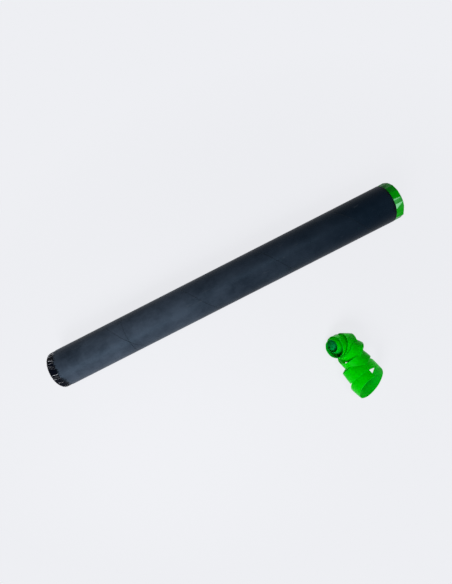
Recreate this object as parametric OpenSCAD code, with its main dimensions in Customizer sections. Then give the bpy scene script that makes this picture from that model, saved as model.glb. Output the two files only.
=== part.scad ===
// Streamer launcher: a hand-held tube that throws rolled streamers when its tail is twisted.
// It lies on its side along +X with the tail's end face at the origin and its axis on X,
// and one uncurled streamer lies on the floor beside it.
// The launcher is as long as what it holds: bottle, valve, streamer stack and the space ahead.

/* [Tube] */
// Outer diameter of the board tube
core_d = 49.2; // [47:0.2:60]
// Wall of the board tube
core_wall = 1.9; // [1.4:0.1:2.6]
// Thickness of the black outer ply
wrap_t = 1.1; // [0.6:0.1:1.6]
// Length of the tail tube that the hand turns
grip_l = 110; // [104:1:124]
// Seam between the tail tube and the barrel
seam_gap = 0.3; // [0.2:0.1:1]
// Thickness of the film over each end
film_t = 0.3; // [0.2:0.05:0.5]
// Film left bare at the tail
base_band = 9.5; // [6:0.5:14]
// Film left bare at the muzzle
muzzle_band = 11; // [8:0.5:16]
// Length of film tucked under the outer ply
film_tuck = 6; // [3:0.5:10]

/* [Tail plug] */
// Thickness behind the bottle
plug_floor = 9.7; // [6:0.1:14]
// Depth of the socket that holds the bottle
socket_depth = 4; // [3:0.5:8]

/* [Air bottle] */
// Outer diameter
bottle_d = 34; // [30:0.5:36]
// Length of the straight body
bottle_body_l = 104; // [100:1:120]
// Length of the shoulder
shoulder_l = 18; // [14:1:24]
// Length of the neck
neck_l = 24; // [22:1:30]
// Outer diameter of the neck
neck_d = 16; // [15:0.5:17]
// Bore of the neck
neck_bore_d = 10; // [8:0.5:11]
// Wall of the bottle
bottle_wall = 1; // [0.8:0.1:1.4]
// Rounding of the bottle's bottom edge
bottle_round = 3; // [2:0.5:5]
// Length of the board spacer round the bottle, halfway between the tail plug and the sleeve
spacer_l = 30; // [20:1:34]

/* [Turning joint] */
// Length of the sleeve inside the tail tube
sleeve_in = 38; // [34:1:42]
// Wall of the sleeve
sleeve_wall = 1.5; // [1.2:0.1:2]
// Thickness of the sleeve's rear lip
lip_t = 3; // [2:0.5:4]
// Thickness of the thrust washer
washer_t = 1; // [0.8:0.1:1.5]
// Length of the ring fixed on the bottle
ring_l = 8; // [6:0.5:10]
// Running fit of the sleeve in the tail tube, on the radius
turn_fit = 0.05; // [0.03:0.01:0.09]
// Clearance between parts that turn past each other
turn_gap = 0.3; // [0.3:0.05:0.5]

/* [Valve] */
// Twist that fires the launcher, in degrees
fire_twist = 90; // [70:5:100]
// Way the plug moves out of the neck
plug_travel = 6; // [5:0.5:7]
// Length of the stem inside the neck
stem_in = 5; // [4:0.5:5]
// Running fit of the stem, on the radius
stem_fit = 0.05; // [0.03:0.01:0.09]
// Diameter of the plug's head
head_d = 24.4; // [23.8:0.2:25]
// Thickness of the head
head_t = 8; // [7:0.5:10]
// Diameter of the cross pin
pin_d = 4; // [3:0.5:4.5]
// Length of the cross pin
pin_l = 33.6; // [31:0.2:35]
// Clearance round the pin in its slots
slot_gap = 0.4; // [0.3:0.05:0.5]
// Width of the plug's keys
key_w = 3.6; // [3:0.2:4.4]
// Length of the plug's keys
key_l = 10.3; // [9:0.1:11]
// How far the keyed collar on the neck lies inside the edge of the plug's head
collar_inset = 0.4; // [0.3:0.1:1]
// Depth of solid collar behind its key slots
collar_back = 1.7; // [1.2:0.1:2.5]
// Section diameter of the seal on the stem
seal_d = 1.6; // [1.2:0.1:2]
// Gas ports in the plug's head
head_ports = 4; // [2:2:4]
// Diameter of each gas port
head_port_d = 3.4; // [2.4:0.2:3.8]
// Length of the breech seat behind the neck's end
seat_over = 6; // [5:0.5:8]
// Room ahead of the plug's head when it has moved
seat_room = 2.2; // [1:0.1:4]
// Thickness of the breech seat's front wall
seat_front_t = 3.5; // [2.5:0.5:5]
// Gas holes round the middle hole of the front wall
seat_holes = 6; // [4:1:8]
// Diameter of each gas hole
seat_hole_d = 5; // [3:0.5:5.5]

/* [Streamer stack] */
// Thickness of the perforated gas disc
diffuser_t = 3; // [2:0.5:5]
// Diameter of its holes
diffuser_hole_d = 3.2; // [2:0.2:4]
// Thickness of the pusher disc
pusher_t = 3; // [2:0.5:5]
// Thickness of the foam wad
wad_t = 8; // [5:0.5:15]
// Layers of rolled streamers, three rolls a layer
layers = 19; // [6:1:24]
// Width of the streamer ribbon
ribbon_w = 15; // [12:0.5:16]
// Diameter of the hole in a roll
roll_hole_d = 5; // [3:0.5:7]
// Thickness of the paper disc on the last layer
top_t = 1; // [0.5:0.1:2]
// Space between the stack and the muzzle's card disc
headspace = 21.4; // [10:0.2:120]
// Thickness of the muzzle's card disc
disc_t = 2; // [1:0.1:3]
// Clearance of the stack and discs in the bore, on the radius
slide_gap = 0.3; // [0.3:0.05:0.6]

/* [Loose streamer] */
// Radius of its largest loop
loop_r = 21; // [20:0.5:26]
// Thickness of the curled ribbon
ribbon_t = 0.5; // [0.4:0.05:0.7]
// Distance of its first loop from the tail's end face
loose_x = 342; // [200:1:460]
// Distance of its first loop from the launcher's axis
loose_y = 139; // [110:1:220]

/* [Hidden] */
$fn = 96;
// Overrun of every cut past the face that it opens
cut = 1;

// Radii of the tube
core_r = core_d / 2;
bore_r = core_r - core_wall;
wrap_r = core_r + wrap_t;
film_r = core_r + film_t;

// Places along the axis, from the tail's end face
bottle_x = film_t + plug_floor;
plug_end = bottle_x + socket_depth;
body_end = bottle_x + bottle_body_l;
shoulder_end = body_end + shoulder_l;
neck_end = shoulder_end + neck_l;
barrel_x = grip_l + seam_gap;
sleeve_x = grip_l - sleeve_in;
spacer_x = (plug_end + sleeve_x - spacer_l) / 2;
washer_x = sleeve_x + lip_t;
ring_x = washer_x + washer_t + turn_gap;
seat_x = neck_end - seat_over;
head_x = neck_end + turn_gap;
head_end = head_x + head_t;
pin_x = head_x + head_t / 2;
seat_bore_end = head_end + plug_travel + seat_room;
seat_end = seat_bore_end + seat_front_t;
diffuser_end = seat_end + diffuser_t;
stack_x = diffuser_end + turn_gap;
wad_x = stack_x + pusher_t;
rolls_x = wad_x + wad_t;
rolls_end = rolls_x + layers * ribbon_w;
top_end = rolls_end + top_t;
disc_x = top_end + headspace;
core_end = disc_x + disc_t;
launcher_l = core_end + film_t;

// Radii of the bottle, valve and sleeve
bottle_r = bottle_d / 2;
neck_r = neck_d / 2;
neck_bore_r = neck_bore_d / 2;
sleeve_r = bore_r - sleeve_wall;
lip_r = bottle_r + turn_gap;
head_r = head_d / 2;
seat_bore_r = head_r + turn_gap;
pin_r = pin_d / 2;
slot_r = pin_l / 2 + slot_gap;
slot_half = pin_r + slot_gap;
stem_r = neck_bore_r - stem_fit;
collar_r = head_r - collar_inset;
key_in = neck_r + turn_gap;
key_out = collar_r - turn_gap;
seal_ring_r = stem_r - seal_d / 2;
port_ring_r = (stem_r + head_r) / 2;
seat_ring_r = seat_bore_r - seat_hole_d;

// Pitch of the rings of holes in the gas disc
diffuser_rings = 3;
diffuser_step = bore_r / (diffuser_rings + 1);

// Radii of the stack
load_r = bore_r - slide_gap;
roll_r = (load_r - slide_gap) / (1 + 2 / sqrt(3));
roll_ring_r = load_r - roll_r;

// Steps of the slots' curve
slot_steps = 16;

// Shape of the loose curl at each full turn: place from the first loop, as shares of loop_r,
// radius as a share of loop_r, and the lean and heading of each loop in degrees
place_shares = [[0, 0], [0.98, -0.52], [1.24, -1.46], [1.14, -2.48], [0.9, -3.52]];
radius_shares = [0.72, 0.81, 0.86, 0.9, 1];
lean_degs = [4, -2, -10, -20, -32];
heading_degs = [-44, -58, -72, -86, -100];
loops = 4.1;
ring_count = 24;
// Phase of the ribbon's last ring, from the loop's side over its top
end_deg = 60;

// Turns a shape built along Z so that it lies along X
module lay() {
    rotate([90, 0, 90]) children();
}

// A tube between two places along the axis
module pipe(from, to, r_in, r_out) {
    translate([0, 0, from]) difference() {
        cylinder(h = to - from, r = r_out);
        translate([0, 0, -cut]) cylinder(h = to - from + 2 * cut, r = r_in);
    }
}

// A disc between two places along the axis
module disc(from, to, r) {
    translate([0, 0, from]) cylinder(h = to - from, r = r);
}

// Holes through a disc, evenly spaced on a circle
module hole_circle(count, ring_r, hole_r, from, to) {
    for (i = [0:count - 1]) rotate(i * 360 / count)
        translate([ring_r, 0, from - cut]) cylinder(h = to - from + 2 * cut, r = hole_r, $fn = 32);
}

module barrel_core() {
    color("#b08d62") lay() pipe(barrel_x, core_end, bore_r, core_r);
}

// The outer ply is relieved at its free end, where the end film is tucked under it
module wrap(from, to, tuck_from, tuck_to) {
    color("#20242b") lay() difference() {
        pipe(from, to, core_r, wrap_r);
        translate([0, 0, tuck_from]) cylinder(h = tuck_to - tuck_from, r = film_r);
    }
}

module barrel_wrap() {
    end = launcher_l - muzzle_band;
    wrap(barrel_x, end, end - film_tuck, end + cut);
}

module grip_core() {
    color("#b08d62") lay() pipe(film_t, grip_l, bore_r, core_r);
}

module grip_wrap() {
    wrap(base_band, grip_l, base_band - cut, base_band + film_tuck);
}

module base_plug() {
    color("#c9b48c") lay() difference() {
        disc(film_t, plug_end, bore_r);
        disc(bottle_x, plug_end + cut, bottle_r);
    }
}

module base_film() {
    color("#15161a") lay() union() {
        disc(0, film_t, film_r);
        pipe(film_t, base_band + film_tuck, core_r, film_r);
    }
}

module muzzle_film() {
    color("#12b52a") lay() union() {
        pipe(launcher_l - muzzle_band - film_tuck, core_end, core_r, film_r);
        pipe(core_end, launcher_l, bore_r, film_r);
    }
}

// Half outline of the bottle, grown inwards by a wall
function bottle_outline(wall) = concat(
    [[0, bottle_x + wall]],
    [for (a = [0:15:90]) [bottle_r - bottle_round + (bottle_round - wall) * sin(a),
                          bottle_x + bottle_round - (bottle_round - wall) * cos(a)]],
    [for (a = [0:10:90]) [neck_r + (bottle_r - wall - neck_r) * cos(a),
                          body_end + (shoulder_l - wall) * sin(a)]]);

module air_bottle() {
    color("silver") lay() difference() {
        union() {
            rotate_extrude() polygon(concat(bottle_outline(0), [[0, shoulder_end]]));
            disc(shoulder_end - bottle_wall, neck_end, neck_r);
        }
        rotate_extrude() polygon(concat(bottle_outline(bottle_wall), [[0, shoulder_end - bottle_wall]]));
        disc(body_end, neck_end + cut, neck_bore_r);
    }
}

module bottle_ring() {
    color("#d8d8d4") lay() pipe(ring_x, ring_x + ring_l, bottle_r, sleeve_r - turn_gap);
}

module bottle_spacer() {
    color("#b08d62") lay() pipe(spacer_x, spacer_x + spacer_l, bottle_r, bore_r);
}

module joint_sleeve() {
    color("#e4e4e0") lay() difference() {
        union() {
            disc(sleeve_x, barrel_x, bore_r - turn_fit);
            disc(barrel_x, seat_x, bore_r);
        }
        disc(sleeve_x - cut, seat_x, lip_r);
        disc(washer_x, seat_x + cut, sleeve_r);
    }
}

module thrust_washer() {
    color("#f0f0ec") lay() pipe(washer_x, washer_x + washer_t, lip_r, sleeve_r);
}

// The collar's key slots open towards the plug and stop short of the collar's back
module neck_collar() {
    back = head_x - key_l - turn_gap;
    slot_w = key_w + 2 * turn_gap;
    color("#d8d8d4") lay() difference() {
        pipe(back - collar_back, neck_end, neck_r, collar_r);
        for (side = [0, 1]) rotate(90 + 180 * side)
            translate([0, -slot_w / 2, back]) cube([collar_r + cut, slot_w, neck_end - back + cut]);
    }
}

module valve_plug() {
    seal_x = neck_end - stem_in / 2;
    color("#d03028") lay() difference() {
        union() {
            disc(head_x, head_end, head_r);
            disc(neck_end - stem_in, head_x + cut, stem_r);
            // Two keys slide in the collar's slots and make the plug turn with the bottle
            for (side = [0, 1]) rotate(90 + 180 * side)
                translate([key_in, -key_w / 2, head_x - key_l])
                    cube([key_out - key_in, key_w, key_l + cut]);
        }
        pipe(seal_x - seal_d / 2, seal_x + seal_d / 2, seal_ring_r - seal_d / 2, stem_r + cut);
        translate([0, 0, pin_x]) rotate([0, 90, 0])
            cylinder(h = head_d + 2 * cut, r = pin_r, center = true, $fn = 48);
        rotate(45) hole_circle(head_ports, port_ring_r, head_port_d / 2, head_x, head_end);
    }
}

module plug_o_ring() {
    color("#1c1c1c") lay() translate([0, 0, neck_end - stem_in / 2])
        rotate_extrude() translate([seal_ring_r, 0]) circle(d = seal_d, $fn = 32);
}

module cam_pin() {
    color("#9aa0a6") lay() translate([0, 0, pin_x]) rotate([0, 90, 0])
        cylinder(h = pin_l, r = pin_r, center = true, $fn = 48);
}

// Side faces and end faces of a solid given as rings of points, one after the other
function ring_faces(rings, sides) = concat(
    [for (i = [0:rings - 2]) for (s = [0:sides - 1]) for (half = [0, 1])
        let (a = i * sides + s, b = i * sides + (s + 1) % sides)
        half == 0 ? [a, b, b + sides] : [a, b + sides, a + sides]],
    [for (s = [1:sides - 2]) [0, s + 1, s]],
    [for (s = [1:sides - 2]) let (a = (rings - 1) * sides) [a, a + s, a + s + 1]]);

// One slot: straight in from the seat's back, then round and forward as the pin is driven
module cam_slot() {
    past = asin((slot_half + slot_gap) / seat_bore_r);
    inner = seat_bore_r - cut;
    outer = slot_r + 2 * slot_gap;
    section = [[inner, -slot_half], [outer, -slot_half], [outer, slot_half], [inner, slot_half]];
    rings = [for (k = [0:slot_steps]) let (a = (fire_twist + 2 * past) * k / slot_steps - past)
        [for (p = section) [p[0] * cos(a), p[0] * sin(a), pin_x + a * plug_travel / fire_twist + p[1]]]];
    polyhedron([for (ring = rings) for (p = ring) p], ring_faces(len(rings), len(section)));
    translate([0, -slot_half, seat_x - cut]) cube([slot_r, 2 * slot_half, pin_x - seat_x + cut]);
}

module breech_seat() {
    color("#e8a020") lay() difference() {
        disc(seat_x, seat_end, bore_r);
        disc(seat_x - cut, seat_bore_end, seat_bore_r);
        for (side = [0, 1]) rotate(180 * side) cam_slot();
        disc(seat_bore_end - cut, seat_end + cut, seat_hole_d / 2);
        hole_circle(seat_holes, seat_ring_r, seat_hole_d / 2, seat_bore_end, seat_end);
    }
}

module gas_diffuser() {
    color("#e4e4e0") lay() difference() {
        disc(seat_end, diffuser_end, bore_r);
        disc(seat_end - cut, diffuser_end + cut, diffuser_hole_d / 2);
        for (k = [1:diffuser_rings])
            hole_circle(6 * k, k * diffuser_step, diffuser_hole_d / 2, seat_end, diffuser_end);
    }
}

module pusher_disc() {
    color("#b08d62") lay() disc(stack_x, wad_x, load_r);
}

module foam_wad() {
    color("#f4f4f0") lay() disc(wad_x, rolls_x, load_r);
}

// Three rolls side by side, each layer turned half a step from the one before it
module streamer_layer(i) {
    from = rolls_x + (i - 1) * ribbon_w;
    color("#10b428") lay() rotate(60 * i) for (k = [0:2]) rotate(120 * k)
        translate([roll_ring_r, 0, 0]) pipe(from, from + ribbon_w, roll_hole_d / 2, roll_r);
}

module top_disc() {
    color("#f0ece0") lay() disc(rolls_end, top_end, load_r);
}

module muzzle_disc() {
    color("#b08d62") lay() disc(disc_x, core_end, load_r);
}

module muzzle_seal() {
    color("#12b52a") lay() disc(core_end, launcher_l, load_r);
}

// A smooth curve through evenly spaced values, read at a share of its length
function span_of(v, u) = min(floor(u * (len(v) - 1)), len(v) - 2);
function smooth(v, u) =
    let (k = span_of(v, u), f = u * (len(v) - 1) - k,
         a = v[max(k - 1, 0)], b = v[k], c = v[k + 1], d = v[min(k + 2, len(v) - 1)])
    (2 * b + (c - a) * f + (2 * a - 5 * b + 4 * c - d) * f * f + (3 * b - a - 3 * c + d) * f * f * f) / 2;

// Middle, outward direction and width direction of the ribbon at a share of its length
function ribbon_at(u) =
    let (place = smooth(place_shares, u) * loop_r, r = smooth(radius_shares, u) * loop_r,
         lean = smooth(lean_degs, u), heading = smooth(heading_degs, u),
         phase = end_deg + (1 - u) * loops * 360,
         along = [cos(heading), sin(heading), 0], side = [-sin(heading), cos(heading), 0],
         up = cos(lean) * [0, 0, 1] + sin(lean) * along,
         across = cos(lean) * along - sin(lean) * [0, 0, 1],
         out = cos(phase) * side + sin(phase) * up,
         rise = r * cos(lean) + ribbon_w / 2 * abs(sin(lean)) + ribbon_t / 2)
    [[loose_x + place[0], place[1] - loose_y, rise - wrap_r] + r * out, out, across];

// Six points round the ribbon: two thin edges and a face on each side
function ribbon_ring(u) =
    let (at = ribbon_at(u), face = ribbon_w / 2 - ribbon_t / 2)
    [for (p = [[-ribbon_w / 2, 0], [-face, ribbon_t / 2], [face, ribbon_t / 2],
               [ribbon_w / 2, 0], [face, -ribbon_t / 2], [-face, -ribbon_t / 2]])
        at[0] + p[0] * at[2] + p[1] * at[1]];

module loose_streamer() {
    last = ceil(loops * ring_count);
    rings = [for (i = [0:last]) ribbon_ring(i / last)];
    // Least way between turns that lie at least half a turn apart, less the ribbon's thickness
    marks = [for (i = [0:last]) let (at = ribbon_at(i / last))
        for (w = [-1:0.25:1]) [i, at[0] + w * ribbon_w / 2 * at[2]]];
    gap = min([for (a = marks) for (b = marks) if (b[0] - a[0] > ring_count / 2) norm(a[1] - b[1])]);
    echo(loose_streamer_gap = gap - ribbon_t);
    color("#0fae22")
        polyhedron([for (ring = rings) for (p = ring) p], ring_faces(len(rings), len(rings[0])));
}

barrel_core();
barrel_wrap();
joint_sleeve();
thrust_washer();
breech_seat();
gas_diffuser();
muzzle_film();
grip_core();
grip_wrap();
base_plug();
base_film();
air_bottle();
bottle_ring();
bottle_spacer();
neck_collar();
valve_plug();
cam_pin();
plug_o_ring();
pusher_disc();
foam_wad();
top_disc();
muzzle_disc();
muzzle_seal();
loose_streamer();
for (i = [1:layers]) streamer_layer(i);
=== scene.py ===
"""Looks of a streamer launcher: its films, ply, rolls and the streamer that lies beside it."""

import bmesh
import bpy
import numpy as np
from mathutils import Matrix, Vector


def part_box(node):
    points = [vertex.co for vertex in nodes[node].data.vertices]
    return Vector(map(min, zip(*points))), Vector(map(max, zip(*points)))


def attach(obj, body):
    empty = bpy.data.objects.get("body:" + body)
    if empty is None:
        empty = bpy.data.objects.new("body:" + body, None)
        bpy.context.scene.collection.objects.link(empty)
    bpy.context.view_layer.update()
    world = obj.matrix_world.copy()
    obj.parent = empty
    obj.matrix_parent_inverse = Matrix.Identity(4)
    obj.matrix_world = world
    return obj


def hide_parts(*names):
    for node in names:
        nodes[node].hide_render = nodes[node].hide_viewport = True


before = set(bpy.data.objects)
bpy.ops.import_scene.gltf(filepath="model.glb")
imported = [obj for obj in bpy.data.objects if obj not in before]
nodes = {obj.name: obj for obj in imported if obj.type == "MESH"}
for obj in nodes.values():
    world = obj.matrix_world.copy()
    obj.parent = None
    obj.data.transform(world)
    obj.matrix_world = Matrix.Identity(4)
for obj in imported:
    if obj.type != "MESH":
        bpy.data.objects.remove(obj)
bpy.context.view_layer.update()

MM = 0.001
TURN = 2 * np.pi
FLOOR_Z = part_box("barrel_wrap")[0].z
# Where the outer ply starts at the tail and ends at the muzzle
PLY_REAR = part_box("grip_wrap")[0].x
PLY_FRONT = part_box("barrel_wrap")[1].x

# The photograph: its size in pixels, and the focal length that its perspective gives
PHOTO_WIDTH, PHOTO_HEIGHT, FOCAL_PIXELS = 452, 584, 336.67
SENSOR = 36.0
EYE = Vector((255.5, -9.3, 452.1)) * MM
LOOK = Vector((-0.0153, 0.0016, -0.9999))
RIGHT = Vector((0.8911, -0.4535, -0.0144))
# The tone of the floor and the world
PALE = (0.855, 0.863, 0.896)


def new_object(name, data):
    """An object made of this data, in the scene."""
    made = bpy.data.objects.new(name, data)
    bpy.context.scene.collection.objects.link(made)
    return made


def make_camera():
    """A camera at the photograph's place, looking down on the launcher and turned so that it lies aslant."""
    data = bpy.data.cameras.new("photo_camera")
    data.sensor_width = SENSOR
    data.lens = FOCAL_PIXELS * SENSOR / max(PHOTO_WIDTH, PHOTO_HEIGHT)
    data.clip_start, data.clip_end = 0.01, 50
    camera = new_object("photo_camera", data)
    back = -LOOK.normalized()
    right = (RIGHT - back * RIGHT.dot(back)).normalized()
    up = back.cross(right)
    turned = Matrix((right, up, back)).transposed().to_4x4()
    camera.matrix_world = Matrix.Translation(EYE) @ turned
    bpy.context.scene.camera = camera


make_camera()


class Number:
    """What a node gives: a sum, difference or product with it adds the Math node that works it out."""

    def __init__(self, finish, socket):
        self.finish = finish
        self.socket = socket

    def __add__(self, other):
        return self.finish.math("ADD", self, other)

    def __sub__(self, other):
        return self.finish.math("SUBTRACT", self, other)

    def __rsub__(self, other):
        return self.finish.math("SUBTRACT", other, self)

    def __mul__(self, other):
        return self.finish.math("MULTIPLY", self, other)

    __radd__ = __add__
    __rmul__ = __mul__


def whole(colour):
    """A colour as four numbers, or a link as it is."""
    return colour if isinstance(colour, Number) else (*colour, 1)


# The sockets of a Mix node that blend colours: its share, the two colours, and the outcome
SHARE_IN, FIRST_IN, SECOND_IN, COLOUR_OUT = 0, 6, 7, 2


class Finish:
    """A material: one Principled shader, and a method that adds any node and sets or links its sockets."""

    def __init__(self, name, **constants):
        self.material = bpy.data.materials.new(name)
        self.material.use_nodes = True
        self.tree = self.material.node_tree
        self.shader = self.tree.nodes["Principled BSDF"]
        self.place = self.node("ShaderNodeTexCoord", out="Object")
        self.feed(self.shader, constants)

    def feed(self, node, values):
        """Each value goes to the socket of its name or number, as a link if another node gives it."""
        for key, value in values.items():
            socket = node.inputs[key if isinstance(key, int) else key.replace("_", " ")]
            if isinstance(value, Number):
                self.tree.links.new(value.socket, socket)
            else:
                socket.default_value = value

    def node(self, kind, settings=None, out=0, values=None, **named):
        """Any node: its settings go first, then its sockets by number or name. Gives one of its outputs."""
        made = self.tree.nodes.new(kind)
        for key, value in (settings or {}).items():
            setattr(made, key, value)
        self.feed(made, {**(values or {}), **named})
        return Number(self, made.outputs[out])

    def math(self, operation, *terms, clamp=False):
        """A Math node on numbers and links."""
        settings = {"operation": operation, "use_clamp": clamp}
        return self.node("ShaderNodeMath", settings, values=dict(enumerate(terms)))

    def axis(self, name, vector=None):
        """One coordinate of a vector, or of the place on the object."""
        return self.node("ShaderNodeSeparateXYZ", out=name, Vector=vector or self.place)

    def mark(self, name):
        """A number that the mesh carries on its points."""
        return self.node("ShaderNodeAttribute", {"attribute_name": name}, out="Fac")

    def ramp(self, value, low, high):
        """0 below low, 1 above high, straight between them."""
        return self.math("MULTIPLY", value - low, 1 / (high - low), clamp=True)

    def stretched(self, scale):
        """Object coordinates with each axis scaled, for grain that runs one way."""
        return self.node("ShaderNodeMapping", {"vector_type": "POINT"}, Vector=self.place, Scale=scale)

    def noise(self, scale, detail, rough, vector=None):
        """Noise from 0 to 1: its scale is in grains to a metre."""
        return self.node("ShaderNodeTexNoise", Vector=vector or self.place, Scale=scale, Detail=detail,
                         Roughness=rough)

    def blend(self, share, first, second):
        """The first colour where share is 0, the second where it is 1."""
        values = {SHARE_IN: share, FIRST_IN: whole(first), SECOND_IN: whole(second)}
        return self.node("ShaderNodeMix", {"data_type": "RGBA"}, out=COLOUR_OUT, values=values)

    def bump(self, height, distance, strength, under=None):
        """Relief of a height at a distance in metres, on top of the relief under it if there is one."""
        values = {"Strength": strength, "Distance": distance, "Height": height}
        if under:
            values["Normal"] = under
        return self.node("ShaderNodeBump", values=values)

    def wear(self, **values):
        """Feeds the shader's own sockets and gives the material back."""
        self.feed(self.shader, values)
        return self.material


def black_ply():
    """Satin black paper wound aslant: a fine seam on a helix, mottling, scuffs, fibres, ragged cut ends, and
    painted light that makes the tail half paler.

    The seam is where the distance along the tube in pitches, less the part of a turn round it, is whole.
    """
    pitch, seam_start = 110 * MM, 0.31
    f = Finish("black_ply", IOR=1.16, Specular_Tint=(0.42, 0.7, 1.0, 1))
    x, y, z = f.axis("X"), f.axis("Y"), f.axis("Z")
    turn = f.math("ARCTAN2", z, y) * (1 / TURN)
    step = f.math("FRACT", x * (1 / pitch) - turn + seam_start)
    seam = 1 - f.ramp(f.math("PINGPONG", step, 0.5), 0.0015, 0.006)
    fibre = f.noise(900, 3, 0.6, f.stretched((0.35, 1, 1)))
    mottle, cloud = f.noise(34, 4, 0.62), f.noise(9, 2, 0.5)
    scuff = f.ramp(f.noise(170, 4, 0.6, f.stretched((0.25, 1, 1))), 0.64, 0.78)
    ragged = (f.noise(560, 3, 0.7) - 0.5) * (19 * MM) + (f.noise(120, 2, 0.5) - 0.5) * (8 * MM)
    from_end = f.math("MINIMUM", x - PLY_REAR, PLY_FRONT - x)
    torn = 1 - f.ramp(from_end - 1.2 * MM - ragged, -0.3 * MM, 0.3 * MM)
    smudge = f.noise(150, 3, 0.6, f.stretched((0.6, 1, 1)))
    tone = mottle * 0.45 + cloud * 0.35 + smudge * 0.2
    # Painted light: a mottled paleness over the tail half, fading out between 120 and 450 mm.
    painted_tail_light = (1 - f.ramp(x, 120 * MM, 450 * MM)) * f.ramp(tone, 0.25, 0.62)
    colour = f.blend(f.ramp(tone, 0.36, 0.64), (0.0006, 0.0035, 0.008), (0.004, 0.009, 0.017))
    colour = f.blend(f.ramp(step, 0.0, 1.0) * 0.3, colour, (0.007, 0.013, 0.022))
    # The painted light of the tail half goes in here.
    colour = f.blend(painted_tail_light * 0.8, colour, (0.054, 0.073, 0.103))
    colour = f.blend(scuff * 0.4, colour, (0.07, 0.082, 0.1))
    colour = f.blend(f.math("MAXIMUM", seam * 0.3, torn), colour, (0.0004, 0.0006, 0.0012))
    rough = 0.34 + 0.1 * f.ramp(mottle, 0.3, 0.7) + 0.05 * fibre + 0.1 * scuff
    relief = f.bump(fibre, 0.03 * MM, 0.6)
    relief = f.bump(seam * -1.0 + step * 0.5 - torn, 0.25 * MM, 0.9, relief)
    return f.wear(Base_Color=colour, Roughness=rough, Normal=relief)


def film(name, double, single, painted_glint, crest_at, glint, ior):
    """Thin shiny film, streaked: darker where a mark says so, for film in two layers and as painted shade,
    and paler where a mark says so, as a painted highlight on fold tops.

    The painted highlight comes in between two levels of a noise, so that it breaks up along the fold.
    """
    f = Finish(name, IOR=ior, Specular_Tint=(*glint, 1))
    crinkle = f.noise(240, 2, 0.5)
    streak = f.noise(110, 2, 0.5, f.stretched((0.4, 1, 1)))
    # Painted highlight: its share, where the stretched mark is set and a noise lets it through.
    thin = f.mark("stretched") * f.ramp(f.noise(150, 3, 0.6), *crest_at)
    # Painted shade, partly film in two layers: the darker colour where its mark is set.
    colour = f.blend(f.ramp(streak, 0.35, 0.68) * 0.12 + (1 - f.mark("doubled")) * 0.88, double, single)
    colour = f.blend(thin, colour, painted_glint)
    relief = f.bump(crinkle, 0.04 * MM, 0.3)
    return f.wear(Base_Color=colour, Roughness=0.09 + 0.1 * crinkle + 0.15 * thin, Normal=relief)


def ribbon_film():
    """Glossy green ribbon: faint bands across its width, paler edges, painted shade on the inner faces of
    the loops, and a painted teal shade on its tight end, where it winds in several layers, and on the inner
    faces near it.
    The map on it runs in metres along the ribbon, and from -1 to 1 across it."""
    f = Finish("ribbon_film", IOR=1.16, Specular_Tint=(0.1, 1.0, 0.2, 1), Subsurface_Weight=0.45,
               Subsurface_Radius=(0.05, 1.0, 0.1), Subsurface_Scale=6 * MM)
    place = f.node("ShaderNodeUVMap", {"uv_map": "ribbon"})
    along, across = f.axis("X", place), f.axis("Y", place)
    band = f.noise(1.0, 3, 0.55, f.node("ShaderNodeCombineXYZ", X=along * 240, Y=across * 1.5))
    edge = f.ramp(f.math("ABSOLUTE", across), 0.86, 1.0)
    inside = f.mark("inside")
    # Painted shade in teal: the tight end, and the inner faces near it.
    tight = 1 - f.ramp(along, 0.045, 0.085)
    behind = inside * (1 - f.ramp(along, 0.15, 0.21))
    wound = f.math("MAXIMUM", tight, behind)
    colour = f.blend(f.ramp(band, 0.3, 0.7), (0.0, 0.56, 0.0), (0.0, 0.68, 0.0))
    # Painted shade: the inner faces of the loops are darker.
    colour = f.blend(inside * 0.7, colour, (0.0, 0.17, 0.01))
    colour = f.blend(wound * 0.85, colour, (0.0, 0.25, 0.06))
    colour = f.blend(edge * 0.35, colour, (0.0, 0.70, 0.02))
    relief = f.bump(band, 0.2 * MM, 0.5)
    return f.wear(Base_Color=colour, Roughness=0.24 + 0.14 * band, Normal=relief)


def rolled_film():
    """Ribbon wound up tight: dark and pale lines round each roll's ends, shiny edges."""
    f = Finish("rolled_film", IOR=1.5, Coat_Weight=0.3)
    line = f.math("PINGPONG", f.mark("winding"), 0.5) * 2
    fleck = f.noise(700, 2, 0.6)
    colour = f.blend(line, (0.0, 0.16, 0.008), (0.01, 0.46, 0.03))
    colour = f.blend(f.ramp(fleck, 0.4, 0.75) * 0.3, colour, (0.02, 0.62, 0.06))
    relief = f.bump(line + 0.4 * fleck, 0.12 * MM, 0.7)
    return f.wear(Base_Color=colour, Roughness=0.3 + 0.2 * fleck, Normal=relief)


def shade(colour, share):
    """A colour made darker: each of its numbers times a share."""
    return tuple(part * share for part in colour)


def board(name, dark, pale, layer_mm):
    """Kraft board: fibres along the winding, and fine layers where a cut end shows them."""
    f = Finish(name, IOR=1.45)
    y, z = f.axis("Y"), f.axis("Z")
    radius = f.math("SQRT", y * y + z * z)
    layer = f.math("PINGPONG", radius * (1 / (layer_mm * MM)), 0.5) * 2
    fibre = f.noise(1100, 4, 0.65, f.stretched((0.5, 1, 1)))
    fleck = f.noise(260, 2, 0.6)
    colour = f.blend(f.ramp(fibre, 0.3, 0.7), dark, pale)
    colour = f.blend(layer * 0.22, colour, shade(dark, 0.55))
    colour = f.blend(f.ramp(fleck, 0.62, 0.72) * 0.35, colour, shade(dark, 0.5))
    relief = f.bump(fibre + 0.5 * layer, 0.06 * MM, 0.6)
    return f.wear(Base_Color=colour, Roughness=0.78 + 0.12 * fibre, Normal=relief)


def moulded(name, colour, rough):
    """Moulded plastic: a fine grain, a soft drift of tone and slightly uneven gloss."""
    f = Finish(name, IOR=1.49)
    grain = f.noise(1600, 2, 0.6)
    drift = f.noise(60, 2, 0.5)
    tone = f.blend(f.ramp(drift, 0.3, 0.7), shade(colour, 0.93), colour)
    relief = f.bump(grain, 0.02 * MM, 0.5)
    return f.wear(Base_Color=tone, Roughness=rough + 0.1 * drift, Normal=relief)


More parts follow.
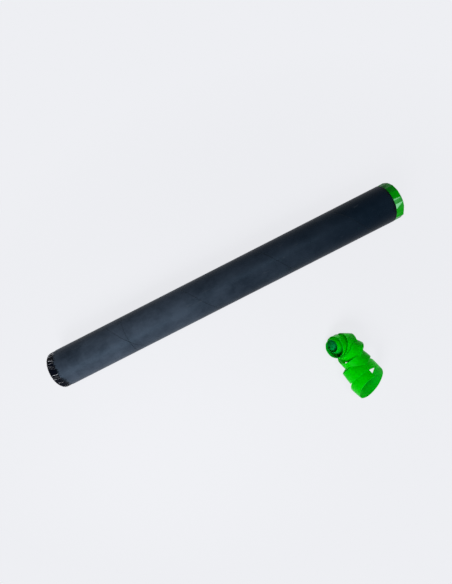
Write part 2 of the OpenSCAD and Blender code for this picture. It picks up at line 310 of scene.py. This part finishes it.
def drawn_metal(name, colour, rough):
    """Drawn metal: fine lines round the piece, uneven in depth and gloss."""
    f = Finish(name, Metallic=1.0)
    lines = f.noise(900, 3, 0.7, f.stretched((1, 0.05, 0.05)))
    cloud = f.noise(45, 2, 0.5)
    tone = f.blend(lines, shade(colour, 0.82), colour)
    relief = f.bump(lines, 0.02 * MM, 0.5)
    return f.wear(Base_Color=tone, Roughness=rough + 0.12 * cloud + 0.08 * lines, Normal=relief)


def foam():
    """Open foam: close cells as small pits, with painted shade darkening each pit towards its middle."""
    f = Finish("white_foam", IOR=1.4)
    cell = f.node("ShaderNodeTexVoronoi", {"feature": "F1"}, out="Distance", Vector=f.place, Scale=1100)
    # Painted shade: darker towards the middle of each pit.
    colour = f.blend(f.ramp(cell, 0.1, 0.6), (0.55, 0.55, 0.52), (0.87, 0.87, 0.84))
    return f.wear(Base_Color=colour, Roughness=0.9, Normal=f.bump(cell, 0.3 * MM, 0.8))


FINISHES = {
    "board": board("tube_board", (0.30, 0.185, 0.085), (0.46, 0.31, 0.16), 0.42),
    "pressed": board("pressed_board", (0.36, 0.25, 0.13), (0.52, 0.39, 0.22), 0.8),
    "card": board("grey_card", (0.22, 0.185, 0.14), (0.36, 0.32, 0.26), 0.9),
    "white_card": board("white_card", (0.66, 0.65, 0.60), (0.82, 0.81, 0.77), 0.9),
    "ply": black_ply(),
    "black_film": film("black_film", double=(0.0003, 0.0005, 0.002), single=(0.0008, 0.0016, 0.006),
                       painted_glint=(0.46, 0.48, 0.52), crest_at=(0.36, 0.49), glint=(0.9, 0.95, 1.0), ior=1.11),
    "green_film": film("green_film", double=(0.0, 0.09, 0.004), single=(0.0, 0.38, 0.0),
                       painted_glint=(0.30, 0.80, 0.40), crest_at=(0.2, 0.3), glint=(0.1, 1.0, 0.2), ior=1.18),
    "ribbon": ribbon_film(),
    "rolled": rolled_film(),
    "white_plastic": moulded("white_plastic", (0.74, 0.74, 0.71), 0.42),
    "washer": moulded("washer_plastic", (0.84, 0.84, 0.81), 0.22),
    "amber": moulded("amber_plastic", (0.66, 0.28, 0.02), 0.4),
    "ring": moulded("ring_plastic", (0.60, 0.60, 0.57), 0.45),
    "red": moulded("red_plastic", (0.48, 0.02, 0.012), 0.25),
    "rubber": moulded("seal_rubber", (0.012, 0.012, 0.012), 0.6),
    "aluminium": drawn_metal("bottle_aluminium", (0.76, 0.77, 0.78), 0.26),
    "steel": drawn_metal("pin_steel", (0.55, 0.56, 0.58), 0.22),
    "foam": foam(),
}

CAD_FINISH = {
    "barrel_core": "board", "grip_core": "board", "barrel_wrap": "ply", "grip_wrap": "ply",
    "joint_sleeve": "white_plastic", "gas_diffuser": "white_plastic", "thrust_washer": "washer",
    "breech_seat": "amber", "base_plug": "pressed", "bottle_spacer": "pressed",
    "air_bottle": "aluminium", "bottle_ring": "ring", "neck_collar": "ring", "valve_plug": "red",
    "cam_pin": "steel", "plug_o_ring": "rubber", "pusher_disc": "card", "foam_wad": "foam",
    "top_disc": "white_card", "muzzle_disc": "card",
}


def coat(piece, finish):
    """Gives a piece one finish, all over."""
    piece.data.materials.clear()
    piece.data.materials.append(FINISHES[finish])


for node_name, finish_name in CAD_FINISH.items():
    coat(nodes[node_name], finish_name)


def grid_faces(rows, columns, close_rows=False):
    """Quads between neighbouring points of a grid whose columns go round and meet."""
    row = np.arange(rows if close_rows else rows - 1)
    r, c = np.meshgrid(row, np.arange(columns), indexing="ij")
    r2, c2 = (r + 1) % rows, (c + 1) % columns
    corners = [r * columns + c, r * columns + c2, r2 * columns + c2, r2 * columns + c]
    return np.stack(corners, -1).reshape(-1, 4)


def fan_faces(ring, pole, flip):
    """Triangles from a ring of points to the pole that closes it."""
    faces = np.stack([ring, np.roll(ring, -1), np.full_like(ring, pole)], -1)
    return faces[:, ::-1] if flip else faces


def skin_faces(rows, columns):
    """Faces of rows that go round, and of two poles after them that close the first row and the last."""
    ring = np.arange(columns)
    first = fan_faces(ring, rows * columns, True)
    last = fan_faces(ring + (rows - 1) * columns, rows * columns + 1, False)
    return [grid_faces(rows, columns), first, last]


def add_piece(name, points, faces, body, finish, slot, sharp_from, **carried):
    """A mesh from points in millimetres, its faces outward, its edges sharp from an angle in degrees.

    It carries the given values: one number to a point as an attribute, two as a map.
    """
    mesh = bpy.data.meshes.new(name)
    mesh.from_pydata((points * MM).tolist(), [], [face for part in faces for face in part.tolist()])
    shell = bmesh.new()
    shell.from_mesh(mesh)
    if shell.calc_volume(signed=True) < 0:
        bmesh.ops.reverse_faces(shell, faces=shell.faces)
    shell.to_mesh(mesh)
    shell.free()
    for key, values in carried.items():
        if values.ndim == 2:
            corner = np.zeros(len(mesh.loops), np.int32)
            mesh.loops.foreach_get("vertex_index", corner)
            layer = mesh.uv_layers.new(name=key)
            layer.data.foreach_set("uv", values[corner].astype(np.float32).ravel())
        else:
            mesh.attributes.new(key, "FLOAT", "POINT").data.foreach_set("value", values.astype(np.float32))
    mesh.polygons.foreach_set("use_smooth", np.ones(len(mesh.polygons), bool))
    mesh.set_sharp_from_angle(angle=np.radians(sharp_from))
    piece = new_object(name, mesh)
    coat(piece, finish)
    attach(piece, body)
    return piece


def all_round(columns):
    """The angles of points spaced evenly round the tube."""
    return np.arange(columns) * TURN / columns


def round_axis(x, radius, angle):
    """Points at a distance along the tube's axis, a radius from it and an angle from +Y over the top."""
    x, radius, angle = np.broadcast_arrays(x, radius, angle)
    return np.stack([x, radius * np.cos(angle), radius * np.sin(angle)], -1).reshape(-1, 3)


def ridge_field(angle, x, count, seed, width, slope):
    """Folds in film: each is a ridge, steep on one side, that drifts round a little as it runs along.

    The height at an angle is the sum over ridges of strength x (1 - distance / width), where the distance
    round the tube counts more than double on the steep side and nothing is left below zero. The middle of a
    ridge moves on by its slope times x.
    """
    draw = np.random.default_rng(seed)
    middle = (np.arange(count) + draw.uniform(-0.38, 0.38, count)) * TURN / count
    strength = draw.uniform(0.3, 1.0, count)
    half = width * draw.uniform(0.6, 1.5, count)
    lean = slope * draw.normal(1, 0.5, count)
    steep = draw.choice([-1, 1], count)
    gap = angle[..., None] - middle - lean * x[..., None]
    gap = (gap + np.pi) % TURN - np.pi
    gap = np.where(gap * steep > 0, 2.2 * np.abs(gap), np.abs(gap))
    return (strength * np.clip(1 - gap / half, 0, None)).sum(-1)


def flat_facets(angle, x, turn, near, far, ends):
    """Film pulled into flat triangles: its radius at an angle and a distance along the tube.

    Two rings of corners stand over the tube, one at each end of the band, with the same turns round it and
    the radii near and far. Four neighbours make a cell, and a diagonal cuts it into two triangles. A ray
    from the axis meets a triangle's plane at (d - nx x) / (ny cos + nz sin). Where the two planes fold
    outwards the nearer one counts, and where they fold inwards the farther. Gives the radius, the number of
    the cell, and which of its triangles it is.
    """
    low = np.stack([np.full_like(turn, ends[0]), near * np.cos(turn), near * np.sin(turn)], -1)
    top = np.stack([np.full_like(turn, ends[1]), far * np.cos(turn), far * np.sin(turn)], -1)
    low_next, top_next = np.roll(low, -1, 0), np.roll(top, -1, 0)
    first = np.cross(low_next - low, top - low)
    second = np.cross(top - top_next, low_next - top_next)
    cell = (np.searchsorted(turn, angle % TURN, side="right") - 1) % len(turn)
    toward = np.stack([0 * angle, np.cos(angle), np.sin(angle)], -1)

    def reach(normal, point):
        full = (normal * point).sum(-1)[cell] - normal[cell][..., 0] * x
        return full / (normal[cell] * toward).sum(-1)

    one, two = reach(first, low), reach(second, top_next)
    outward = ((top_next - low) * first).sum(-1) * np.sign((low[:, 1:] * first[:, 1:]).sum(-1)) < 0
    radius = np.where(outward[cell], np.minimum(one, two), np.maximum(one, two))
    return radius, cell, np.where(radius == one, 0, 1)


# How many points go round a band of film, and the radius in millimetres at which film lies on the board
FILM_COLUMNS = 720
ON_BOARD = 24.62
# The radius of the rings next to the two poles of a closed skin
POLE_RING = 1.2


def tail_film():
    """Black film gathered over the tail: a closed skin from the middle of the end face, over the rim, along
    the band and back inside. Its outside is the board's radius plus folds that run on from face to band."""
    face_x, face_edge = 0.3, 24.3
    rim_end, bare_end, tuck_end = 0.35, 9.9, 15.4
    angle = all_round(FILM_COLUMNS)

    def folds_at(x):
        """The same folds at any distance along the film."""
        return ridge_field(angle, x, count=64, seed=7, width=0.036, slope=0.016)

    face_r = np.linspace(POLE_RING, face_edge, 26)[:, None]
    fan = folds_at((face_r - face_edge) * 0.4)
    face_lift = 0.06 + 0.5 * fan * (face_r / face_edge) ** 0.7 * np.clip((face_r - 4) / 6, 0, 1)
    face = round_axis(face_x - 0.2 - face_lift, face_r, angle)

    rim = np.radians(np.linspace(5, 85, 6))[:, None]
    folds = folds_at(np.zeros(1))
    rim_out = 0.3 + 0.45 * folds
    rim_r = ON_BOARD - 0.35 + (0.35 + rim_out * np.sin(rim))
    over_rim = round_axis(face_x - rim_out * np.cos(rim) * 0.9, rim_r, angle)

    band_x = np.concatenate([np.linspace(rim_end, 9.3, 28), np.linspace(bare_end, tuck_end, 4)])[:, None]
    crease = folds_at(band_x)
    fade = np.clip((bare_end - band_x) / 0.6, 0, 1)
    band = round_axis(band_x, ON_BOARD + 0.16 + np.minimum(0.8 * crease, 0.9) * fade, angle)

    inner = round_axis(np.linspace(tuck_end, rim_end, 8)[:, None], ON_BOARD, angle)
    back = round_axis(face_x, np.linspace(face_edge, POLE_RING, 6)[:, None], angle)
    poles = [[face_x - 0.24, 0, 0], [face_x, 0, 0]]
    points = np.concatenate([face, over_rim, band, inner, back, poles])

    # Painted highlights on the fold tops, strongest on a patch of the band about half a radian round from +Y
    glint_patch = np.exp(-((angle - 0.5) / 0.3) ** 2) * (crease > 0.25) * fade
    glint_strength = [fan * np.clip((face_r - 6) / 8, 0, 1), np.repeat(folds[None], len(rim), 0),
            np.maximum(crease * fade, 1.1 * glint_patch)]
    glint_strength = np.concatenate(glint_strength).ravel()
    glint_strength = np.pad(glint_strength, (0, len(points) - len(glint_strength)))
    # The stretched mark carries these painted highlights.
    piece = add_piece("tail_film", points, skin_faces(len(points) // FILM_COLUMNS, FILM_COLUMNS),
                      "grip", "black_film", "black_film", sharp_from=28,
                      stretched=np.clip((glint_strength - 0.72) / 0.24, 0, 1), doubled=np.zeros(len(points)))
    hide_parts("base_film")


# The muzzle film's corners round the tube, one to a row: the angle in degrees, the radius at the ply and at
# the rim, how far the two triangles that start there are darkened, for film in two layers and as painted
# shade, and how far they are painted pale as a highlight
MUZZLE_CORNERS = np.array([
    [4, 25.3, 25.5, 0.8, 0.7, 0.1, 0.0],
    [27, 25.5, 25.3, 0.9, 0.6, 0.0, 0.05],
    [50, 25.2, 25.6, 0.7, 0.5, 0.0, 0.0],
    [71, 25.5, 25.5, 0.3, 0.15, 0.0, 0.0],
    [93, 25.75, 25.3, 0.3, 0.4, 0.15, 0.1],
    [107, 25.1, 25.7, 0.1, 0.2, 0.8, 0.05],
    [122, 25.6, 25.5, 0.0, 0.05, 0.0, 0.0],
    [153, 25.3, 25.95, 0.6, 0.3, 0.3, 0.0],
    [178, 25.5, 25.3, 0.9, 0.5, 0.0, 0.2],
    [203, 25.4, 25.5, 0.3, 0.1, 0.0, 0.0],
    [230, 25.5, 25.4, 0.0, 0.2, 0.1, 0.0],
    [257, 25.2, 25.7, 0.6, 0.1, 0.0, 0.6],
    [284, 25.6, 25.4, 0.2, 0.4, 0.0, 0.0],
    [311, 25.3, 25.6, 0.0, 0.5, 0.0, 0.0],
    [337, 25.5, 25.3, 0.9, 0.8, 0.1, 0.0],
])


def muzzle_ring():
    """Green film stretched over the muzzle's rim: a closed ring of flat facets, gathered at its two sides.

    Its outside is the facets' radius plus the gathers, which are ridges times a cosine that leaves only the
    two sides. It turns over the rim on a quarter circle, then goes to the mouth and back along the board.
    """
    bore, bare_from, bare_to, tuck_end, lip_x = 22.75, 489, 499.6, 483.1, 500.02
    angle = all_round(FILM_COLUMNS)
    band_x = np.concatenate([np.linspace(tuck_end, 488.6, 5), np.linspace(bare_from, bare_to, 40)])[:, None]
    free = np.clip((band_x - 488.8) / 1.0, 0, 1)
    share = np.clip((band_x - bare_from) / (bare_to - bare_from), 0, 1)
    turn, near, far = np.radians(MUZZLE_CORNERS[:, 0]), MUZZLE_CORNERS[:, 1], MUZZLE_CORNERS[:, 2]
    radius, cell, half = flat_facets(angle, band_x, turn, near, far, (bare_from, bare_to))
    gathered = np.maximum(np.clip(np.cos(angle - np.radians(15)) * 4 - 3, 0, 1),
                          np.clip(np.cos(angle - np.radians(172)) * 5 - 4, 0, 1))
    folds = ridge_field(angle, share * 0.4, count=60, seed=5, width=0.035, slope=0.1) * gathered
    height = np.maximum(radius - ON_BOARD, 0.12) + 0.45 * folds - 0.12
    band = round_axis(band_x, ON_BOARD + 0.12 + free * height, angle)

    rim = np.radians(np.linspace(15, 90, 5))[:, None]
    rim_r = ON_BOARD - 0.2 + (0.32 + height[-1]) * np.cos(rim)
    over_rim = round_axis(bare_to + 0.45 * np.sin(rim), rim_r, angle)
    lip_r = np.linspace(24.2, bore, 4)[:, None]
    lip = round_axis(lip_x, lip_r + 0.12 * np.sin(23 * angle) * (lip_r < 23.2), angle)
    inner = [round_axis(x, r, angle) for x, r in ((499.78, bore), (499.72, ON_BOARD), (tuck_end, ON_BOARD))]
    points = np.concatenate([band, over_rim, lip, *inner])

    def whole_skin(values):
        """The band's values, those of its last row over the rim and lip, and none inside."""
        over = np.repeat(values[-1:], len(rim) + len(lip_r), 0)
        return np.concatenate([values, over, np.zeros((len(inner), FILM_COLUMNS))]).ravel()

    # Painted shade and painted highlights, one facet triangle at a time; the tops of the gathers are painted
    # pale too.
    doubled, painted_pale = MUZZLE_CORNERS[:, 3:5], MUZZLE_CORNERS[:, 5:]
    stretched = painted_pale[cell, half] + 0.5 * np.clip(folds - 0.6, 0, 1)
    # A painted highlight, a pale line, runs forward from the corner at 93 degrees, narrows and stops short
    # of the rim
    from_crest, crest_half = np.abs(angle - np.radians(93)), 0.02 + 0.05 * (1 - share)
    painted_glint = np.clip(1 - from_crest / crest_half, 0, 1) * (share < 0.92)
    faces = [grid_faces(len(points) // FILM_COLUMNS, FILM_COLUMNS, close_rows=True)]
    piece = add_piece("muzzle_ring", points, faces, "barrel", "green_film", "green_film", sharp_from=12,
                      stretched=whole_skin(np.maximum(stretched, 0.8 * painted_glint) * free),
                      doubled=whole_skin(doubled[cell, half]))
    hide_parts("muzzle_film")


def mouth_film():
    """Green film drawn tight over the mouth: a thin closed disc. Its front stands out by small puckers: they
    are ridges times a share that falls to nothing 14 mm from its middle."""
    columns, front_x, back_x, edge = 240, 500.16, 500.06, 23.3
    angle = all_round(columns)
    radius = np.concatenate([np.linspace(POLE_RING, 18, 8), np.linspace(19, edge, 9)])[:, None]
    pucker = ridge_field(angle, radius, count=44, seed=12, width=0.06, slope=0.003)
    rise = 0.16 * pucker * np.clip((radius - 14) / 8, 0, 1) ** 1.5
    front = round_axis(front_x + rise, radius, angle)
    back = round_axis(back_x, np.linspace(edge, POLE_RING, 5)[:, None], angle)
    points = np.concatenate([front, back, [[front_x, 0, 0], [back_x, 0, 0]]])
    piece = add_piece("mouth_film", points, skin_faces(len(points) // columns, columns),
                      "closure", "green_film", "green_film", sharp_from=24,
                      stretched=np.zeros(len(points)), doubled=np.full(len(points), 0.3))
    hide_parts("muzzle_seal")


tail_film()
muzzle_ring()
mouth_film()


def layer_number(name):
    """The number at the end of a streamer layer's name."""
    return int(name.split("_")[-1])


def roll_layer(name):
    """Three rolls of ribbon side by side: each is a closed ring whose outer radius creeps by one ribbon in a
    turn, so that its free end stands as a step, and whose ends carry a shallow spiral ridge.

    The winding at a point is its radius in pitches less the part of a turn from the ribbon's free end, and
    the ridge is a sine of it.
    """
    columns, rolls, roll_r, ring_r, hole = 56, 3, 10.2, 12.1, 2.5
    gap, pitch, ridge, ribbon = 0.05, 1.5, 0.16, 0.3
    apart = 360 / rolls
    layer = layer_number(name)
    low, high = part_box(name)
    x0, x1 = low.x / MM + gap, high.x / MM - gap
    draw = np.random.default_rng(40 + layer)
    angle = all_round(columns)
    radii = np.linspace(hole + 0.3, roll_r - 0.45, 20)[:, None]
    points, winding = [], []
    for k in range(rolls):
        start = draw.uniform(0, TURN)
        creep = ((angle - start) % TURN) / TURN
        # Each layer's rolls lie over the gaps of the layer behind
        around = np.radians(apart / 2 * layer + apart * k)
        lift = ridge * np.sin(TURN * (radii / pitch - creep))
        rim = roll_r - ribbon + ribbon * creep
        # Out over the rear end, along the outside, in over the front end, and back through the hole
        profile = [(x0 + 0.25 - lift, radii), (x0 + 0.25, rim - 0.25), (x0, rim - 0.12), (x0 + 0.3, rim),
                   (x1 - 0.3, rim), (x1, rim - 0.12), (x1 - 0.25, rim - 0.25),
                   (x1 - 0.25 + lift[::-1], radii[::-1]), (x1 - 0.3, hole), (x0 + 0.3, hole)]
        for x, r in profile:
            x, r = np.broadcast_arrays(x, r, angle[None])[:2]
            y = r * np.cos(angle) + ring_r * np.cos(around)
            z = r * np.sin(angle) + ring_r * np.sin(around)
            points.append(np.stack([x, y, z], -1).reshape(-1, 3))
            winding.append((r / pitch - creep).ravel())
    points = np.concatenate(points)
    rows = len(points) // (columns * rolls)
    faces = [grid_faces(rows, columns, close_rows=True) + k * rows * columns for k in range(rolls)]
    piece = add_piece(name.replace("layer", "rolls"), points, faces, "load", "rolled", "green_roll",
                      sharp_from=40, winding=np.concatenate(winding))
    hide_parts(name)


layers = [name for name in nodes if name.startswith("streamer_layer_")]
for layer_name in sorted(layers, key=layer_number):
    roll_layer(layer_name)


def smooth_through(values, share):
    """A Catmull-Rom curve through evenly spaced rows of values, read at shares of its length: a cubic from
    row to row, whose slope at each is half the difference of the rows on its two sides."""
    spans = len(values) - 1
    place = np.clip(share, 0, 1) * spans
    k = np.minimum(place.astype(int), spans - 1)
    f = (place - k)[:, None]
    a, b = values[np.maximum(k - 1, 0)], values[k]
    c, d = values[k + 1], values[np.minimum(k + 2, spans)]
    linear, square, cube = c - a, 2 * a - 5 * b + 4 * c - d, 3 * b - a - 3 * c + d
    return 0.5 * (2 * b + linear * f + square * f ** 2 + cube * f ** 3)


# The loose ribbon loop by loop, from its tight end: the middle of the loop, its radius and its lift off the
# floor in millimetres, then in degrees how far its axis leans, where it heads, and how far the band flares
RIBBON_LOOPS = np.array([
    [345, -143, 3, 4.5, 44, -14, 14],
    [344, -142.5, 6.5, 0, 44, -14, 42],
    [348, -142, 11.5, 0, 38, -16, 20],
    [350, -144.5, 15.5, 0, 34, -20, 6],
    [357, -145, 17, 0, 26, -34, 7],
    [361, -153, 18, 0, 10, -54, 7],
    [361, -168, 19, 0, 0, -70, 7],
    [362, -188, 22.5, 0, -36, -80, 2],
    [369, -209.5, 25.5, 0, -57, -80, -10],
])


def loose_ribbon():
    """The uncurled streamer: a thin band carried along a helix whose place, radius, lean and heading change
    from loop to loop.

    A point is the loop's middle plus radius x (cos of the phase to the side + sin of it upwards), spread
    along the loop's axis for the width and along its radius for the thickness. The band flares like a cone,
    most of all where its tight end closes in. A loop's middle stands as high as its leaning edge needs to
    clear the floor: radius x cos of the lean + half the width x sin of lean and flare together.
    """
    width, thick, loops, end_phase = 15.5, 0.22, 8.0, 78.0
    steps, lanes = 1000, 9
    off_floor, bulge = 0.4, 0.18
    share = np.linspace(0, 1, steps)
    middle_x, middle_y, r, tip_lift, *turned = smooth_through(RIBBON_LOOPS, share).T
    lean, heading, flare = np.radians(turned)
    phase = np.radians(end_phase + (1 - share) * loops * 360)
    along = np.stack([np.cos(heading), np.sin(heading), 0 * share], -1)
    side = np.stack([-np.sin(heading), np.cos(heading), 0 * share], -1)
    high = np.array([0, 0, 1.0])
    up = np.cos(lean)[:, None] * high + np.sin(lean)[:, None] * along
    axis = np.cos(lean)[:, None] * along - np.sin(lean)[:, None] * high
    spoke = np.cos(phase)[:, None] * side + np.sin(phase)[:, None] * up
    edge_reach = width / 2 * np.abs(np.sin(lean + flare))
    middle_z = r * np.cos(lean) + edge_reach + off_floor + FLOOR_Z / MM + tip_lift
    ripple = 0.12 * np.sin(31 * phase / 4) + 0.08 * np.sin(2.3 * phase + 1)
    centre = np.stack([middle_x, middle_y, middle_z], -1) + (r + ripple)[:, None] * spoke
    straight, aslant = np.cos(flare)[:, None], np.sin(flare)[:, None]
    axis, out = straight * axis + aslant * spoke, straight * spoke - aslant * axis
    lane = np.linspace(-1, 1, lanes)
    bow = bulge * (1 - lane ** 2)
    across = np.concatenate([lane, lane[::-1]])
    lift = np.concatenate([thick / 2 + bow, bow[::-1] - thick / 2])
    columns = 2 * lanes
    points = centre[:, None] + (across * width / 2)[:, None] * axis[:, None] + lift[:, None] * out[:, None]
    length = np.concatenate([[0], np.cumsum(np.linalg.norm(np.diff(centre, axis=0), axis=1))]) * MM
    uv = np.stack(np.broadcast_arrays(length[:, None], across), -1)
    inside = np.broadcast_to(np.repeat([0.0, 1.0], lanes), (steps, columns))
    i = np.arange(lanes - 1)
    end = np.stack([i, i + 1, columns - 2 - i, columns - 1 - i], -1)
    faces = [grid_faces(steps, columns), end, end[:, ::-1] + (steps - 1) * columns]
    piece = add_piece("loose_ribbon", points.reshape(-1, 3), faces, "loose_curl", "ribbon", "green_ribbon",
                      sharp_from=50, ribbon=uv.reshape(-1, 2), inside=inside.ravel())
    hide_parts("loose_streamer")


loose_ribbon()


def background_rays(f):
    """1 for the rays that see the background as a picture: the camera's, a reflection's and glass's."""
    seen = f.node("ShaderNodeLightPath", out="Is Camera Ray")
    for name in ("Is Glossy Ray", "Is Transmission Ray"):
        seen = f.math("MAXIMUM", seen, f.node("ShaderNodeLightPath", out=name))
    return seen


def floor_finish():
    """A pale floor: its own lit colour for the light it throws back, and the photograph's pale tone with a
    faint shadow where the camera or a reflection sees it."""
    f = Finish("pale_floor", Base_Color=whole(PALE), Roughness=0.9, Specular_IOR_Level=0.0)
    seen = background_rays(f)
    across, along = f.axis("Y") + 0.05, (f.axis("X") - 0.26) * 0.7
    near = 1 - f.ramp(f.math("SQRT", across * across + along * along), 0.12, 0.34)
    glow = f.node("ShaderNodeEmission", Color=whole(PALE), Strength=1.0)
    lit = Number(f, f.shader.outputs[0])
    mixed = f.node("ShaderNodeMixShader", values={0: seen * (1 - 0.12 * near), 1: lit, 2: glow})
    f.feed(f.tree.nodes["Material Output"], {"Surface": mixed})
    return f.material


def make_stage():
    """A wide flat floor under the launcher."""
    half = 12.0
    corners = [(-half, -half), (half, -half), (half, half), (-half, half)]
    mesh = bpy.data.meshes.new("floor")
    mesh.from_pydata([(x, y, FLOOR_Z) for x, y in corners], [], [(0, 1, 2, 3)])
    mesh.materials.append(floor_finish())
    floor = new_object("floor", mesh)


make_stage()


def lamp(name, place, aim, size, power):
    """A soft square lamp that looks at a point."""
    data = bpy.data.lights.new(name, "AREA")
    data.shape, data.size, data.energy = "SQUARE", size, power
    made = new_object(name, data)
    made.location = place
    made.rotation_mode = "QUATERNION"
    made.rotation_quaternion = (Vector(place) - Vector(aim)).to_track_quat("Z", "Y")


lamp("key", (-0.25, -0.50, 0.66), (0.15, 0.0, 0.0), 0.5, 8)
lamp("glint", (1.04, -0.59, 0.89), (0.45, 0.0, 0.0), 0.12, 0.5)
lamp("fill", (0.42, 0.02, 1.2), (0.3, 0.0, 0.0), 0.35, 5)


class Sky(Finish):
    """The world's nodes, made with the same calls as a material's."""

    def __init__(self, name):
        world = bpy.data.worlds.new(name)
        bpy.context.scene.world = world
        world.use_nodes = True
        self.tree = world.node_tree
        self.shader = self.tree.nodes["Background"]


def make_sky(level):
    """A pale world: white strength where it is seen, and a plain soft level where it lights the object."""
    sky = Sky("studio")
    sky.feed(sky.shader, {"Color": whole(PALE), "Strength": background_rays(sky) * (1 - level) + level})


make_sky(0.08)

bpy.context.scene.view_settings.view_transform = "Standard"
